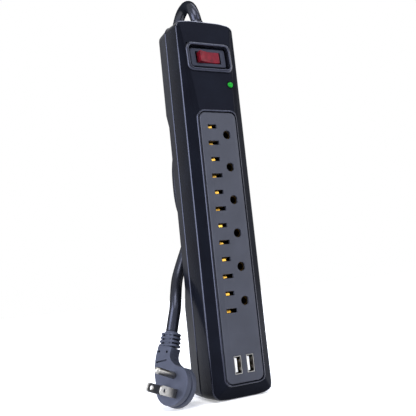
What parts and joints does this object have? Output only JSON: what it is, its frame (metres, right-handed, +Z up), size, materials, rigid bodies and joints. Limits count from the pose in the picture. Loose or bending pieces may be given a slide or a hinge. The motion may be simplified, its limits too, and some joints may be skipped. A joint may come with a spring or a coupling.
{
  "type": "power strip",
  "caption": "Tall black power strip with a grey panel of outlets and USB ports, a lit red rocker switch in a raised guard, and a mains cord with a flat angled plug.",
  "frame": {"origin": "centre of the strip under its lower end, at floor level, the cord and plug left out", "axes": "+Z up along the strip towards the cord end, -Y out of the outlet face, +X to the right of a person facing the outlets"},
  "size_m": [0.1225, 0.0807, 0.3256],
  "materials": {
    "gloss_black_abs": "glossy blue-black moulding",
    "matte_grey_abs": "satin dark grey moulding",
    "black_nylon": "satin black moulding",
    "red_polycarbonate": "clear red, lit from inside",
    "green_polycarbonate": "clear green, lit from inside",
    "brass": "stamped",
    "nickel_steel": "nickel plated",
    "white_nylon": "satin white moulding",
    "green_laminate": "lacquered laminate",
    "blue_epoxy": "dipped",
    "black_vinyl": "satin black vinyl",
    "white_vinyl": "satin white vinyl",
    "green_vinyl": "satin green vinyl"
  },
  "bodies": {
    "strip": {"front_housing": "gloss_black_abs", "rear_cover": "gloss_black_abs", "outlet_panel": "matte_grey_abs", "housing_screw_1": "nickel_steel", "housing_screw_2": "nickel_steel", "housing_screw_3": "nickel_steel", "housing_screw_4": "nickel_steel", "contact_tray": "black_nylon", "hot_bus": "brass", "neutral_bus": "brass", "ground_bus": "brass", "usb_shell_left": "nickel_steel", "usb_shell_right": "nickel_steel", "usb_insert_left": "white_nylon", "usb_insert_right": "white_nylon", "usb_board": "green_laminate", "usb_transformer": "blue_epoxy", "usb_capacitor": "black_vinyl", "usb_hot_wire": "black_vinyl", "usb_neutral_wire": "black_vinyl", "switch_body": "black_nylon", "switch_terminal_line": "brass", "switch_terminal_load": "brass", "switch_terminal_lamp": "brass", "status_light": "green_polycarbonate", "surge_board": "green_laminate", "varistor_1": "blue_epoxy", "varistor_2": "blue_epoxy", "varistor_3": "blue_epoxy", "thermal_fuse": "white_nylon", "line_wire": "black_vinyl", "switched_wire": "black_vinyl", "neutral_wire": "white_vinyl", "ground_wire": "green_vinyl", "cord_bushing": "black_vinyl", "cord_lead": "black_vinyl", "cord_hank": "black_vinyl", "cord_tail": "black_vinyl", "hank_tie": "black_nylon", "plug_body": "black_vinyl", "plug_strain_relief": "black_vinyl", "plug_blade_hot": "brass", "plug_blade_neutral": "nickel_steel", "plug_ground_pin": "nickel_steel"},
    "rocker": {"switch_rocker": "red_polycarbonate"}
  },
  "joints": [
    {"name": "rocker_pivot", "type": "hinge", "parent": "strip", "child": "rocker", "pos_m": [0, -0.01431, 0.2611], "axis": [0, 0.0854, 0.9963], "range_deg": [-15, 0]}
  ]
}
